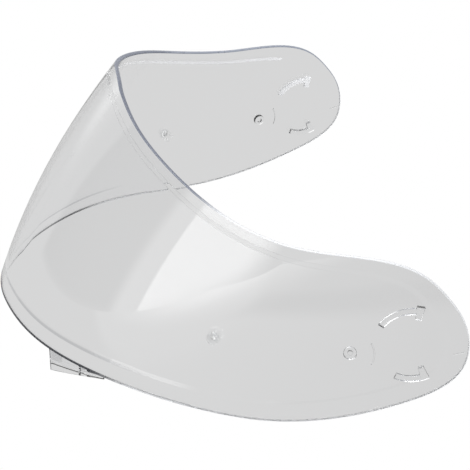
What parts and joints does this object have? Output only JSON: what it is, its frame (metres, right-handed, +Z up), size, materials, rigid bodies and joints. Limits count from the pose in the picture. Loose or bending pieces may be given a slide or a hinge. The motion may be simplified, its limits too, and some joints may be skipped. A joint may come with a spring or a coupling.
{
  "type": "motorcycle helmet visor",
  "caption": "Clear wrap-around helmet shield with stepped rim, lift tab, hinge hooks inside both arms and turnable anti-fog insert pins.",
  "frame": {"origin": "bottom centre of the bounding box of the shield as it stands on its lift tab and on the lowest points of both arms", "axes": "+Z up, -Y is the front that faces the rider's way ahead, +X is the wearer's left, where the lift tab is"},
  "size_m": [0.263, 0.1938, 0.1157],
  "materials": {
    "clear_shell": "gloss",
    "pin_nylon": "gloss",
    "screw_nylon": "gloss",
    "washer_silicone": "satin"
  },
  "bodies": {
    "shield": {"shield_shell": "clear_shell"},
    "pin_set_left": {"antifog_pin_left": "pin_nylon", "antifog_washer_left": "washer_silicone", "antifog_screw_left": "screw_nylon"},
    "pin_set_right": {"antifog_pin_right": "pin_nylon", "antifog_washer_right": "washer_silicone", "antifog_screw_right": "screw_nylon"}
  },
  "joints": [
    {"name": "pin_turn_left", "type": "hinge", "parent": "shield", "child": "pin_set_left", "pos_m": [0.10546, -0.00676, 0.03746], "axis": [0.8938, -0.4203, 0.1565], "continuous": true},
    {"name": "pin_turn_right", "type": "hinge", "parent": "shield", "child": "pin_set_right", "pos_m": [-0.10546, -0.00676, 0.03746], "axis": [-0.8938, -0.4203, 0.1565], "continuous": true}
  ]
}
